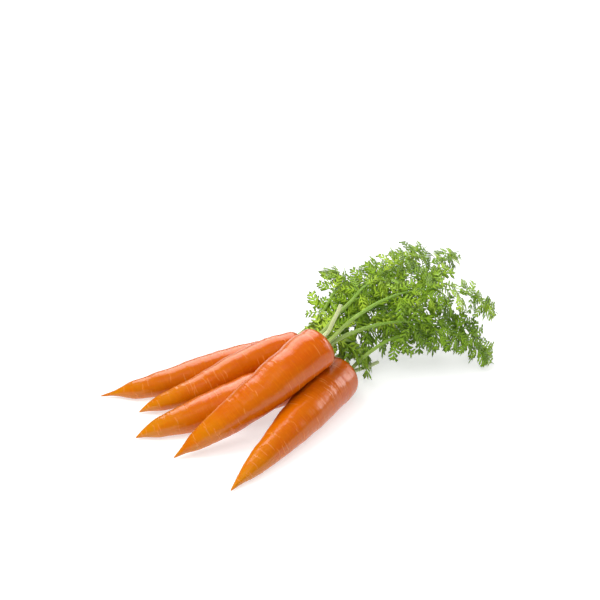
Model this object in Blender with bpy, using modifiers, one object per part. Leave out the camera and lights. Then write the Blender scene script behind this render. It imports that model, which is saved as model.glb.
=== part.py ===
# A bunch of carrots lying on a surface: five roots fanned out from their crowns, leaf stalks,
# feathery leaves and a few cut stalk ends. Metres, +X from the root tips towards the leaves.
import math

import bpy
import numpy as np
from mathutils import Vector
from mathutils.bvhtree import BVHTree

# Roots
ROOT_LENGTH = 0.160  # longest root, crown to tip
ROOT_RADIUS = 0.0195  # shoulder radius of the thickest root
SHOULDER_LENGTH = 0.0085  # how far the rounded shoulder reaches down the root
CROWN_DISH = 0.0022  # depth of the hollow in the crown
TIP_RADIUS = 0.0010
TIP_LIFT = 0.0008  # the tips turn up a little

# Leaf stalks
STALK_RADIUS = 0.0021  # at the crown
STALK_TAPER = 0.36  # share of that radius left at the leaf's tip
CUT_STALK_LENGTH = 0.056  # longest cut stalk
CUT_STALK_RADIUS = 0.0021

# Leaves
LEAF_LENGTH = 0.180  # stalk and blade of a long leaf
LEAF_HALF_WIDTH = 0.0160
LEAF_THICKNESS = 0.0009
LOBE_PITCH = 0.0098  # distance between lobes along the blade
BLADE_WEB = 0.0017  # half width of the blade between two lobes

CLEARANCE = 0.0004  # between any two pieces

# Root: tip x and y as shares of ROOT_LENGTH, heading of the root from tip to crown in degrees,
# length and radius as shares, taper power, bluntness, bend and double bend as shares of length,
# and whether it lies on its neighbours.
ROOTS = (
    ("root_back", -0.10, 0.90, -9, 0.92, 0.67, 3.6, 0.95, 0.060, -0.023, False),
    ("root_middle", -0.06, 0.49, -3, 0.85, 0.89, 2.3, 0.72, 0.037, -0.008, False),
    ("root_front", 0.19, -0.08, 29, 0.960, 1.00, 1.7, 0.78, 0.026, 0.000, False),
    ("root_upper_back", 0.03, 0.68, -5, 0.89, 0.68, 2.6, 0.66, 0.030, -0.029, True),
    ("root_top", 0.05, 0.26, 7, 0.875, 0.92, 2.6, 0.88, 0.060, -0.005, True),
)

# Leaf: root, heading and turn, rise at the crown and pitch at the tip in degrees, length and
# width as shares, where the blade starts as a share of the length, and its roll in degrees.
LEAVES = (
    ("root_top", 16, 8, -12, -74, 0.45, 0.55, 0.40, 0),
    ("root_front", 44, -84, 50, -72, 0.62, 0.90, 0.42, 0),
    ("root_front", 42, -92, 44, -60, 0.73, 0.85, 0.48, 0),
    ("root_middle", 30, -60, 30, -50, 0.87, 0.90, 0.50, 0),
    ("root_front", -6, 12, 50, -60, 0.81, 0.90, 0.50, 0),
    ("root_top", -2, -17, 22, -58, 0.96, 0.80, 0.58, 0),
    ("root_upper_back", -14, -11, 42, -55, 0.98, 0.80, 0.55, 0),
    ("root_middle", 24, -58, 38, -16, 0.82, 0.95, 0.50, 0),
    ("root_top", 2, -15, 40, -50, 0.97, 0.85, 0.56, 0),
    ("root_upper_back", -8, -14, 36, -16, 0.80, 0.90, 0.52, 0),
    ("root_back", -24, 50, 38, -15, 1.18, 0.80, 0.62, 10),
    ("root_top", 12, 14, 27, -16, 0.80, 0.85, 0.50, 10),
    ("root_back", -20, 58, 34, -8, 1.02, 0.75, 0.60, 15),
    ("root_upper_back", -20, 72, 46, -8, 0.62, 0.95, 0.48, 10),
    ("root_upper_back", -20, 122, 72, -40, 0.58, 0.70, 0.42, 0),
    ("root_upper_back", 0, 55, 60, -20, 0.36, 0.60, 0.36, 0),
    ("root_top", 27, 75, 58, -30, 0.23, 0.50, 0.30, 0),
)

# Cut stalk: root, heading and rise in degrees, length as a share.
CUT_STALKS = (
    ("root_front", 20, -2, 0.80),
    ("root_front", 30, 10, 1.00),
    ("root_middle", 12, 8, 0.90),
    ("root_top", 0, 66, 0.55),
    ("root_back", 4, 22, 0.80),
)

AROUND = 18  # faces round a root
STALK_POINTS = 11
CUT_POINTS = 4
STALK_SIDES = 6
LOBE_STEPS = (0.0, 0.46, 0.80, 1.0)  # how far out a lobe reaches at its four stations
LOBE_SWEEP = 0.17  # lobes point forwards by this share of their reach
STATIONS = 49  # along an axis, when clearances are measured


def remove_everything():
    for obj in list(bpy.data.objects):
        bpy.data.objects.remove(obj, do_unlink=True)


def make_collection(name, hidden=False):
    collection = bpy.data.collections.new(name)
    bpy.context.scene.collection.children.link(collection)
    collection.hide_render = hidden
    return collection


def make_material(name, color, roughness):
    material = bpy.data.materials.new(name)
    material.use_nodes = True
    shader = material.node_tree.nodes["Principled BSDF"]
    shader.inputs["Base Color"].default_value = (*color, 1.0)
    shader.inputs["Roughness"].default_value = roughness
    shader.inputs["Metallic"].default_value = 0.0
    return material


def direction(heading, pitch):
    """Unit vector of a heading and a pitch in degrees."""
    h, p = math.radians(heading), math.radians(pitch)
    return np.array([math.cos(p) * math.cos(h), math.cos(p) * math.sin(h), math.sin(p)])


def unit(v):
    return v / np.linalg.norm(v, axis=-1, keepdims=True)


# ---- roots


class Root:
    """A tapering root whose axis runs from its crown to its tip, with its tip on the surface."""

    def __init__(self, name, x, y, heading, length, radius, power, blunt, bend, double, leans):
        self.name = name
        self.tip = np.array([x, y]) * ROOT_LENGTH
        self.heading = heading
        self.length = length * ROOT_LENGTH
        self.radius = radius * ROOT_RADIUS
        self.power = power
        self.blunt = blunt
        self.bend = bend * self.length
        self.double = double * self.length
        self.leans = leans
        self.lift = 0.0
        self.slots = []

    def body_radius(self, s):
        return self.radius * (1 - s**self.power) ** self.blunt + TIP_RADIUS * s**6

    def axis(self, stations=STATIONS):
        """Points from crown to tip: the belly of the root rests on the surface or is lifted."""
        s = np.linspace(0, 1, stations)
        back = direction(self.heading, 0)[:2]
        side = np.array([back[1], -back[0]])
        sway = self.bend * np.sin(np.pi * s) + self.double * np.sin(2 * np.pi * s)
        flat = self.tip + np.outer(1 - s, back) * self.length + np.outer(sway, side)
        z = self.body_radius(s) + TIP_LIFT * s**3 + self.lift * (1 - s)
        near = s < 0.09
        slope = self.lift + self.radius * 0.12
        z[near] = z[~near][0] + slope * (0.09 - s[near])
        return np.column_stack([flat, z])

    def spheres(self):
        """Centres and radii that fill the root, for clearances."""
        s = np.linspace(0, 1, STATIONS)
        room = s * self.length * 1.3 + 0.28 * self.radius
        return self.axis(), np.minimum(self.body_radius(s), room)

    def profile(self):
        """(distance from the crown, radius) down the outside, from the crown's hollow to the tip."""
        length = np.linalg.norm(np.diff(self.axis(), axis=0), axis=1).sum()
        rim = 0.52 * self.radius
        points = [(CROWN_DISH, 0.0), (CROWN_DISH * 0.72, rim * 0.5), (0.0, rim)]
        at_shoulder = self.body_radius(np.array(SHOULDER_LENGTH / length))
        for angle in (24, 48, 70, 90):
            a = math.radians(angle)
            reach = rim + (float(at_shoulder) - rim) * math.sin(a)
            points.append((SHOULDER_LENGTH * (1 - math.cos(a)), reach))
        for step in np.linspace(0, 1, 14)[1:-1]:
            s = SHOULDER_LENGTH / length + (1 - SHOULDER_LENGTH / length) * step**0.9
            points.append((s * length, float(self.body_radius(s))))
        points.append((length * 0.992, TIP_RADIUS))
        points.append((length, 0.0))
        return points

    def crown(self):
        """Middle of the crown and the way it faces."""
        axis = self.axis()
        return axis[0], unit(axis[0] - axis[2])


def clearance(one, other):
    (a, ra), (b, rb) = one.spheres(), other.spheres()
    apart = np.linalg.norm(a[:, None] - b[None], axis=2) - ra[:, None] - rb[None]
    return apart.min()


def settle(root, others):
    """Moves a root until it clears the others: a leaning one rises, and any other slides aside."""
    step = 0.0004
    for _ in range(400):
        near = min(others, key=lambda other: clearance(root, other), default=None)
        if near is None or clearance(root, near) >= CLEARANCE:
            return
        if root.leans and root.lift < 3.2 * ROOT_RADIUS:
            root.lift += step
        else:
            away = root.axis()[STATIONS // 2][:2] - near.axis()[STATIONS // 2][:2]
            root.tip = root.tip + unit(away) * step


def build_root(root, collection, guides, material):
    guide = bpy.data.curves.new(root.name + "_axis", "CURVE")
    guide.dimensions = "3D"
    spline = guide.splines.new("POLY")
    axis = root.axis(25)
    spline.points.add(len(axis) - 1)
    for point, place in zip(spline.points, axis):
        point.co = (*place, 1.0)
    rail = bpy.data.objects.new(root.name + "_axis", guide)
    rail.hide_render = True
    rail.display_type = "WIRE"
    guides.objects.link(rail)

    profile = root.profile()
    mesh = bpy.data.meshes.new(root.name)
    points = [(d, r, 0.0) for d, r in profile]
    mesh.from_pydata(points, [(i, i + 1) for i in range(len(points) - 1)], [])
    obj = bpy.data.objects.new(root.name, mesh)
    collection.objects.link(obj)
    turn = obj.modifiers.new("Turn", "SCREW")
    turn.axis = "X"
    turn.steps = turn.render_steps = AROUND
    turn.use_merge_vertices = True
    turn.merge_threshold = 0.00001
    turn.use_smooth_shade = True
    turn.use_normal_flip = True
    follow = obj.modifiers.new("Follow", "CURVE")
    follow.object = rail
    follow.deform_axis = "POS_X"
    mesh.materials.append(material)
    return obj, rail


# ---- leaves


def leaf_path(start, facing, heading, turn, rise, end_pitch, length, stations=STATIONS):
    """A stalk that leaves the crown squarely, then turns and droops evenly along its length."""
    t = (np.arange(stations - 1) + 0.5) / (stations - 1)
    ways = np.array([direction(heading + turn * a, rise + (end_pitch - rise) * a) for a in t])
    blend = np.clip(t * length / (6 * STALK_RADIUS), 0, 1)[:, None]
    ways = unit(facing * (1 - blend) + ways * blend)
    return np.vstack([start, start + np.cumsum(ways * length / (stations - 1), axis=0)])


def frames(path, roll=0.0):
    """Tangent, across and up vectors along a path, with up rolled about the path."""
    tangent = unit(np.gradient(path, axis=0))
    up = np.array([0, 0, 1.0]) - tangent * tangent[:, 2:3]
    up = unit(up + 1e-9)
    across = np.cross(tangent, up)
    angle = math.radians(roll)
    rolled = up * math.cos(angle) + across * math.sin(angle)
    return tangent, np.cross(tangent, rolled), rolled


def stalk_radii(count, base, end_share):
    return base * (1 - (1 - end_share) * np.linspace(0, 1, count))


def tube(path, radii, sides=STALK_SIDES):
    """Vertices and faces of a closed tube, for clearances."""
    _, across, up = frames(path)
    angles = np.arange(sides) * 2 * math.pi / sides
    rings = [
        path + radii[:, None] * (across * math.cos(a) + up * math.sin(a)) for a in angles
    ]
    verts = np.stack(rings, axis=1).reshape(-1, 3)
    faces = []
    for i in range(len(path) - 1):
        for k in range(sides):
            j = (k + 1) % sides
            faces.append((i * sides + k, i * sides + j, (i + 1) * sides + j, (i + 1) * sides + k))
    last = (len(path) - 1) * sides
    faces.append(tuple(range(sides)))
    faces.append(tuple(range(last, last + sides)))
    return verts, faces


def blade_outline(length, half_width):
    """Stations of a lobed blade: distance along it and the reach of its edge at each."""
    lobes = max(4, round(length / LOBE_PITCH))
    count = lobes * len(LOBE_STEPS) + 1
    x = np.linspace(0, 1, count)
    swell = np.sqrt(x + 0.10) * (1.04 - x) ** 0.75
    swell = swell / swell.max() * half_width
    steps = np.array([LOBE_STEPS[i % len(LOBE_STEPS)] for i in range(count)])
    reach = BLADE_WEB + np.maximum(swell - BLADE_WEB, 0) * steps
    return x, reach


def blade_points(path, radii, start, half_width, roll):
    """Grid of points of a blade lying just above its stalk, with its edges drooping a little."""
    arc = np.concatenate([[0], np.cumsum(np.linalg.norm(np.diff(path, axis=0), axis=1))])
    total = arc[-1]
    x, reach = blade_outline(total * (1 - start), half_width)
    _, across, up = frames(path, roll)
    inner = BLADE_WEB * 0.75
    rows = []
    for column in (-1, 0, 1, 2):
        outward = column in (-1, 2)
        side = -1 if column < 1 else 1
        width = reach if outward else np.full_like(reach, inner)
        along = arc[-1] * (start + (1 - start) * x)
        along = along + (LOBE_SWEEP * (width - BLADE_WEB) if outward else 0)
        along = np.minimum(along, total)
        spot = np.column_stack([np.interp(along, arc, path[:, i]) for i in range(3)])
        out = unit(np.column_stack([np.interp(along, arc, across[:, i]) for i in range(3)]))
        high = unit(np.column_stack([np.interp(along, arc, up[:, i]) for i in range(3)]))
        stalk = np.interp(along, arc, radii)
        rise = stalk + CLEARANCE + LEAF_THICKNESS / 2
        droop = 0.22 * half_width * (np.maximum(width - inner, 0) / half_width) ** 2
        rows.append(spot + out * (side * width)[:, None] + high * (rise - droop)[:, None])
    return np.stack(rows, axis=1)


def blade_shell(grid, margin):
    """Middle sheet and closed outer shell of a blade, thickened by a margin, for clearances."""
    normal = unit(np.cross(np.gradient(grid, axis=0), np.gradient(grid, axis=1)))
    offset = LEAF_THICKNESS / 2 + margin
    rows, columns = grid.shape[:2]
    sheets = [(grid + normal * offset * sign).reshape(-1, 3) for sign in (-1, 0, 1)]
    size = rows * columns
    faces = []
    for base in (0, size, 2 * size):
        for i in range(rows - 1):
            for k in range(columns - 1):
                a = base + i * columns + k
                faces.append((a, a + 1, a + columns + 1, a + columns))
    edge = [i * columns for i in range(rows)]
    edge += [size - columns + k for k in range(1, columns)]
    edge += [i * columns + columns - 1 for i in range(rows - 2, -1, -1)]
    edge += list(range(columns - 2, -1, -1))
    for a, b in zip(edge, edge[1:]):
        faces.append((a, b, b + 2 * size, a + 2 * size))
    return np.concatenate(sheets), faces


def tree(verts, faces):
    return BVHTree.FromPolygons([Vector(v) for v in verts], faces)


def evaluated_tree(obj):
    graph = bpy.context.evaluated_depsgraph_get()
    done = obj.evaluated_get(graph)
    mesh = done.to_mesh()
    verts = [done.matrix_world @ v.co for v in mesh.vertices]
    faces = [tuple(p.vertices) for p in mesh.polygons]
    found = BVHTree.FromPolygons(verts, faces)
    done.to_mesh_clear()
    return found


def is_clear(trees, placed):
    return not any(one.overlap(other) for one in trees for other in placed)


def search_order(rises, turns, droops):
    """Small changes of rise, heading and droop, the smallest first."""
    changes = [(a, b, c) for a in rises for b in turns for c in droops]
    return sorted(changes, key=lambda c: (abs(c[0]) + 1.3 * abs(c[1]) + 0.8 * abs(c[2]), c))


def crown_spots(root, ways):
    """Where each stalk starts round the crown: in the order of the ways they go, so none cross."""
    middle, facing = root.crown()
    side = unit(np.cross(facing, [0, 0, 1.0]))
    top = np.cross(side, facing)
    wanted = np.array([math.atan2(way @ top, way @ side) for way in ways])
    order = np.argsort(wanted)
    even = np.arange(len(ways)) * 2 * math.pi / len(ways)
    shift = np.exp(1j * (wanted[order] - even)).sum()
    apart = STALK_RADIUS + 2 * CLEARANCE
    ring_radius = apart / math.sin(math.pi / max(2, len(ways)))
    spots = [None] * len(ways)
    for slot, index in enumerate(order):
        angle = even[slot] + math.atan2(shift.imag, shift.real)
        ring = side * math.cos(angle) + top * math.sin(angle)
        spots[index] = middle + ring * ring_radius + facing * 2 * CLEARANCE
    return spots, facing


def make_stalk(name, path, radii, points, collection, material):
    """A curve with a round bevel through points read off a finer path."""
    curve = bpy.data.curves.new(name, "CURVE")
    curve.dimensions = "3D"
    curve.bevel_depth = 1.0
    curve.bevel_resolution = (STALK_SIDES - 4) // 2
    curve.use_fill_caps = True
    curve.resolution_u = 1
    curve.render_resolution_u = 0
    spline = curve.splines.new("POLY")
    picked = np.linspace(0, 1, points) ** 1.4 * (len(path) - 1)  # closer together at the crown
    spline.points.add(points - 1)
    for point, at in zip(spline.points, picked):
        place = [np.interp(at, range(len(path)), path[:, i]) for i in range(3)]
        point.co = (*place, 1.0)
        point.radius = float(np.interp(at, range(len(path)), radii))
    obj = bpy.data.objects.new(name, curve)
    collection.objects.link(obj)
    curve.materials.append(material)
    return obj


def make_blade(name, grid, collection, material):
    """A grid primitive laid over the blade's points, made solid."""
    rows, columns = grid.shape[:2]
    bpy.ops.mesh.primitive_grid_add(x_subdivisions=rows - 1, y_subdivisions=columns - 1, size=1.0)
    obj = bpy.context.object
    obj.name = obj.data.name = name
    for home in list(obj.users_collection):
        home.objects.unlink(obj)
    collection.objects.link(obj)
    for vertex in obj.data.vertices:
        row = round((vertex.co.x + 0.5) * (rows - 1))
        column = round((vertex.co.y + 0.5) * (columns - 1))
        vertex.co = grid[row, column]
    obj.data.shade_smooth()
    solid = obj.modifiers.new("Thickness", "SOLIDIFY")
    solid.thickness = LEAF_THICKNESS
    solid.offset = 0.0
    obj.data.materials.append(material)
    return obj


# ---- assembly

remove_everything()
bunch = make_collection("carrot_bunch")
guides = make_collection("guides", hidden=True)
skin = make_material("carrot_skin", (0.86, 0.24, 0.02), 0.36)
stalk_green = make_material("stalk_green", (0.42, 0.56, 0.16), 0.45)
leaf_green = make_material("leaf_green", (0.13, 0.32, 0.03), 0.50)
cut_green = make_material("cut_stalk_green", (0.55, 0.63, 0.28), 0.50)

roots = []
for row in ROOTS:
    root = Root(*row)
    settle(root, roots)
    roots.append(root)
by_name = {root.name: root for root in roots}

made = []
placed = []
for root in roots:
    obj, rail = build_root(root, bunch, guides, skin)
    made += [obj, rail]
bpy.context.view_layer.update()
for root in roots:
    placed.append(evaluated_tree(bpy.data.objects[root.name]))

stalk_ways = {root.name: [] for root in roots}
for root_name, heading, turn, rise, end_pitch, *_ in LEAVES:
    stalk_ways[root_name].append(direction(heading + 0.25 * turn, rise))
for root_name, heading, rise, _ in CUT_STALKS:
    stalk_ways[root_name].append(direction(heading, rise))
spots = {}
for root in roots:
    places, facing = crown_spots(root, stalk_ways[root.name])
    spots[root.name] = [(place, facing) for place in places]


def next_spot(root_name):
    return spots[root_name].pop(0)


def place_cut_stalk(number, row):
    root_name, heading, rise, share = row
    start, facing = next_spot(root_name)
    length = share * CUT_STALK_LENGTH
    radii = stalk_radii(STATIONS, CUT_STALK_RADIUS, 0.92)
    for more_rise, more_turn, _ in search_order(range(-24, 33, 4), range(-28, 29, 4), (0,)):
        pitch = rise + more_rise
        path = leaf_path(start, facing, heading + more_turn, 0, pitch, pitch, length)
        lowest = (path[:, 2] - radii).min()
        trees = [tree(*tube(path[::3], radii[::3] + 2 * CLEARANCE))]
        if lowest > CLEARANCE and is_clear(trees, placed):
            break
    placed.append(tree(*tube(path[::3], radii[::3])))
    return make_stalk(f"cut_stalk_{number}", path, radii, CUT_POINTS, bunch, cut_green)


def place_leaf(number, row):
    root_name, heading, turn, rise, end_pitch, long, wide, start_share, roll = row
    start, facing = next_spot(root_name)
    length = long * LEAF_LENGTH
    half_width = wide * LEAF_HALF_WIDTH
    radii = stalk_radii(STATIONS, STALK_RADIUS, STALK_TAPER)
    changes = search_order(range(-32, 45, 4), range(-36, 37, 4), range(-40, 41, 8))
    for more_rise, more_turn, droop in changes:
        pitches = (rise + more_rise, end_pitch + droop)
        path = leaf_path(start, facing, heading + more_turn, turn, *pitches, length)
        grid = blade_points(path, radii, start_share, half_width, roll)
        lowest = min(grid[:, :, 2].min() - LEAF_THICKNESS, (path[:, 2] - radii).min())
        if lowest < CLEARANCE:
            continue
        trees = [
            tree(*tube(path[::3], radii[::3] + 2 * CLEARANCE)),
            tree(*blade_shell(grid, 3 * CLEARANCE)),
        ]
        if is_clear(trees, placed):
            break
    else:
        print("no clear place for leaf", number)
    placed.append(tree(*tube(path[::3], radii[::3])))
    placed.append(tree(*blade_shell(grid, 0.0)))
    name = f"leaf_{number:02d}"
    return [
        make_stalk(name + "_stalk", path, radii, STALK_POINTS, bunch, stalk_green),
        make_blade(name + "_blade", grid, bunch, leaf_green),
    ]


for number, row in enumerate(LEAVES, 1):
    made += place_leaf(number, row)
for number, row in enumerate(CUT_STALKS, 1):
    made.append(place_cut_stalk(number, row))

# The bunch's origin is the bottom centre of its box.
bpy.context.view_layer.update()
graph = bpy.context.evaluated_depsgraph_get()
corners = []
for obj in made:
    if obj.hide_render:
        continue
    done = obj.evaluated_get(graph)
    mesh = done.to_mesh()
    points = np.empty(len(mesh.vertices) * 3, np.float32)
    mesh.vertices.foreach_get("co", points)
    points = points.reshape(-1, 3)
    corners += [points.min(axis=0), points.max(axis=0)]
    done.to_mesh_clear()
low, high = np.min(corners, axis=0), np.max(corners, axis=0)
origin = bpy.data.objects.new("bunch_origin", None)
bunch.objects.link(origin)
for obj in made:
    obj.parent = origin
origin.location = (-(low[0] + high[0]) / 2, -(low[1] + high[1]) / 2, -low[2])
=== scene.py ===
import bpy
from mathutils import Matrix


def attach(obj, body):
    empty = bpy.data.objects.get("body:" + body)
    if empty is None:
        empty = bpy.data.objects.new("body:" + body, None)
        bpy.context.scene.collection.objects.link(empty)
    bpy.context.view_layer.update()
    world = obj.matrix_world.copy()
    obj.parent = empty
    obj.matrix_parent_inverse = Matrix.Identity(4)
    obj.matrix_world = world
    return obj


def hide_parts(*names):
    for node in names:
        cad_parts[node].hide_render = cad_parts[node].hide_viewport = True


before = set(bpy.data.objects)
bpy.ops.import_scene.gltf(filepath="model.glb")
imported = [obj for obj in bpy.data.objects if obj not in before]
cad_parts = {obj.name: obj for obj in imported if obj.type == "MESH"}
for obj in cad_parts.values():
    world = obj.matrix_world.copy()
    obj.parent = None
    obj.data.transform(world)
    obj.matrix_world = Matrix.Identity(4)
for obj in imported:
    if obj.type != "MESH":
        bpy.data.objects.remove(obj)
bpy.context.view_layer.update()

import math

import bpy
import numpy as np
from mathutils import Vector

mm = 0.001
print("stage: frame loaded,", len(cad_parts), "CAD nodes")


# vectors and paths


def unit(v):
    return v / np.maximum(np.linalg.norm(v, axis=-1, keepdims=True), 1e-12)


def smoothStep(x, low, high):
    t = np.clip((x - low) / (high - low), 0, 1)
    return t * t * (3 - 2 * t)


def arcOf(path):
    return np.concatenate([[0], np.cumsum(np.linalg.norm(np.diff(path, axis=0), axis=1))])


def readAt(at, known, values):  # values may have several columns
    if values.ndim == 1:
        return np.interp(at, known, values)
    return np.stack([np.interp(at, known, values[:, i]) for i in range(values.shape[1])], axis=-1)


def smoothPath(points, count):  # a spline through the points, then evenly spaced
    ends = np.vstack([2 * points[0] - points[1], points, 2 * points[-1] - points[-2]])
    t = np.linspace(0, 1, 20, endpoint=False)[:, None]
    pieces = []
    for a, b, c, d in zip(ends, ends[1:], ends[2:], ends[3:]):
        span = np.linalg.norm(c - b)
        leave, arrive = unit(c - a) * span, unit(d - b) * span
        pieces.append(
            (2 * t**3 - 3 * t**2 + 1) * b
            + (t**3 - 2 * t**2 + t) * leave
            + (-2 * t**3 + 3 * t**2) * c
            + (t**3 - t**2) * arrive
        )
    path = np.vstack([*pieces, points[-1]])
    arc = arcOf(path)
    return readAt(np.linspace(0, arc[-1], count), arc, path)


def framesAlong(path):  # tangent, across and up at each point
    tangent = unit(np.gradient(path, axis=0))
    up = unit(np.array([0, 0, 1.0]) - tangent * tangent[:, 2:3] + 1e-9)
    return tangent, np.cross(tangent, up), up


# what would reach below the lowest height lies along the floor
def keepAbove(points, lowest=0.3 * mm, soft=3.0 * mm):
    z = points[..., 2]
    sunk = z < lowest + soft
    z[sunk] = lowest + soft * np.exp((z[sunk] - lowest - soft) / soft)
    return points


# reading meshes and the CAD nodes


def readMesh(mesh):  # its points, and its triangles as numbers of points
    points = np.empty(len(mesh.vertices) * 3)
    mesh.vertices.foreach_get("co", points)
    mesh.calc_loop_triangles()
    faces = np.empty(len(mesh.loop_triangles) * 3, np.int32)
    mesh.loop_triangles.foreach_get("vertices", faces)
    return points.reshape(-1, 3), faces.reshape(-1, 3)


def weldedNode(name):
    points, faces = readMesh(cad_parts[name].data)
    weld = 0.01 * mm
    _, first, index = np.unique(
        np.round(points / weld).astype(int), axis=0, return_index=True, return_inverse=True
    )
    return points[first], index.reshape(-1)[faces]


def ringsFrom(points, faces, start):  # rings of vertices, walking outwards from a starting set
    edges = np.sort(np.concatenate([faces[:, [0, 1]], faces[:, [1, 2]], faces[:, [2, 0]]]), axis=1)
    level = np.full(len(points), -1)
    level[start] = 0
    rings = [np.asarray(start)]
    while True:
        one, other = np.isin(edges[:, 0], rings[-1]), np.isin(edges[:, 1], rings[-1])
        following = np.unique(np.concatenate([edges[one, 1], edges[other, 0]]))
        following = following[level[following] < 0]
        if not len(following):
            break
        level[following] = len(rings)
        rings.append(following)
    centres = np.array([points[ring].mean(axis=0) for ring in rings])
    radii = np.array([np.linalg.norm(points[r] - c, axis=1).mean() for r, c in zip(rings, centres)])
    return centres, radii


def measureRoot(name):  # axis crown to tip, and its profile as (distance from crown, radius)
    points, faces = weldedNode(name)
    touching = np.bincount(faces.ravel())
    poles = np.argsort(-touching)[:2]  # the two points where a fan of triangles meets
    tip = poles[np.argmin(points[poles, 0])]
    centres, radii = ringsFrom(points, faces, [tip])
    centres, radii = centres[::-1], radii[::-1]
    axis = smoothPath(centres[2:], 500)  # past the hollow in the crown, from its rim on
    near = np.linalg.norm(centres[:, None] - axis[None], axis=2).argmin(axis=1)
    return axis, np.column_stack([arcOf(axis)[near], radii])


def measureTube(name, crowns):  # centre line and radii, from the end nearest a crown
    points, faces = weldedNode(name)
    corners = points[faces]
    sides = np.linalg.norm(corners - np.roll(corners, 1, axis=1), axis=2)
    smallest = sides.sum(axis=1).argmin()
    capReach = 2.2 * sides[smallest].min()  # the end cap's points lie this near to each other
    fromCap = np.linalg.norm(points - points[faces[smallest, 0]], axis=1)
    centres, radii = ringsFrom(points, faces, np.flatnonzero(fromCap < capReach))
    toCrown = [np.linalg.norm(crowns - end, axis=1).min() for end in (centres[0], centres[-1])]
    if toCrown[1] < toCrown[0]:
        centres, radii = centres[::-1], radii[::-1]
    return centres, radii


# meshes and node trees


def makeObject(name, verts, faces, edges=()):
    mesh = bpy.data.meshes.new(name)
    mesh.from_pydata(np.asarray(verts).tolist(), list(edges), faces)
    obj = bpy.data.objects.new(name, mesh)
    bpy.context.scene.collection.objects.link(obj)
    return obj


def storeValues(mesh, name, values):
    values = np.asarray(values, np.float32)
    kind = "FLOAT" if values.ndim == 1 else "FLOAT_VECTOR"
    attribute = mesh.attributes.new(name, kind, "POINT")
    attribute.data.foreach_set("value" if values.ndim == 1 else "vector", values.ravel())


def feed(tree, node, inputs):  # by name or number, each a value or another node's output
    for key, value in inputs.items():
        if isinstance(value, bpy.types.NodeSocket):
            tree.links.new(value, node.inputs[key])
        else:
            node.inputs[key].default_value = value


def addNode(tree, kind, place=(0, 0), inputs=None, **settings):
    node = tree.nodes.new(kind)
    node.location = place
    for key, value in settings.items():
        setattr(node, key, value)
    feed(tree, node, inputs or {})
    return node


def newTree(name, kind, inputs, outputs):  # sockets as {name: (kind,) or (kind, value)}
    tree = bpy.data.node_groups.new(name, kind)
    for way, sockets in (("INPUT", inputs), ("OUTPUT", outputs)):
        for label, (form, *value) in sockets.items():
            socket = tree.interface.new_socket(
                name=label, in_out=way, socket_type="NodeSocket" + form
            )
            if value:
                socket.default_value = value[0]
    return tree, addNode(tree, "NodeGroupInput", (-1200, 0)).outputs


def newShapeTree(name, **inputs):  # a Geometry Nodes tree that changes one mesh
    sockets = {"Geometry": ("Geometry",), **inputs}
    return newTree(name, "GeometryNodeTree", sockets, {"Geometry": ("Geometry",)})


def finishTree(tree, geometry, material):  # sets the material and hands the mesh out
    inputs = {"Geometry": geometry, "Material": material}
    paint = addNode(tree, "GeometryNodeSetMaterial", (400, 0), inputs)
    addNode(tree, "NodeGroupOutput", (600, 0), {"Geometry": paint.outputs["Geometry"]})
    return tree


def meshOf(tree, place, obj):  # another object's mesh, in its own coordinates
    inputs = {"Object": obj}
    node = addNode(tree, "GeometryNodeObjectInfo", place, inputs, transform_space="ORIGINAL")
    return node.outputs["Geometry"]


def readAttribute(tree, name, kind="FLOAT"):  # a named attribute inside Geometry Nodes
    inputs = {"Name": name}
    node = addNode(tree, "GeometryNodeInputNamedAttribute", (-1000, -600), inputs, data_type=kind)
    return node.outputs["Attribute"]


def mathNode(tree, place, operation, *values, clamp=False):
    inputs = dict(enumerate(values))
    settings = {"operation": operation, "use_clamp": clamp}
    return addNode(tree, "ShaderNodeMath", place, inputs, **settings).outputs[0]


def newMaterial(name):
    material = bpy.data.materials.new(name)
    material.use_nodes = True
    tree = material.node_tree
    return material, tree, tree.nodes["Principled BSDF"]


# runs a Geometry Nodes tree and keeps the result as a plain mesh
def applyTree(obj, tree, inputs):
    modifier = obj.modifiers.new(tree.name, "NODES")
    modifier.node_group = tree
    byName = {s.name: s.identifier for s in tree.interface.items_tree if s.in_out == "INPUT"}
    for name, value in inputs.items():
        modifier[byName[name]] = value
    obj.update_tag()
    bpy.context.view_layer.update()
    graph = bpy.context.evaluated_depsgraph_get()
    mesh = bpy.data.meshes.new_from_object(obj.evaluated_get(graph), depsgraph=graph)
    obj.modifiers.remove(modifier)
    old = obj.data
    obj.data = mesh
    bpy.data.meshes.remove(old)
    mesh.name = obj.name


def handOver(piece, slot, *nodes):
    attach(piece, "root")
    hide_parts(*nodes)


# camera, floor and light

cameraView = {
    "aim": (0.0476, 0.1366, 0.0),
    "heading": 27.0,  # degrees, clockwise from +Y
    "pitch": 32.0,
    "distance": 1.1667,
    "lens": 75.0,
}


def direction(heading, pitch):  # heading clockwise from +Y, both in degrees
    h, p = math.radians(heading), math.radians(pitch)
    return Vector((math.sin(h) * math.cos(p), math.cos(h) * math.cos(p), math.sin(p)))


def makeCamera():
    data = bpy.data.cameras.new("camera")
    data.lens = cameraView["lens"]
    data.sensor_width = 36.0
    camera = bpy.data.objects.new("camera", data)
    forward = direction(cameraView["heading"], -cameraView["pitch"])
    camera.location = Vector(cameraView["aim"]) - forward * cameraView["distance"]
    camera.rotation_euler = forward.to_track_quat("-Z", "Y").to_euler()
    bpy.context.scene.collection.objects.link(camera)
    bpy.context.scene.camera = camera


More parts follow.
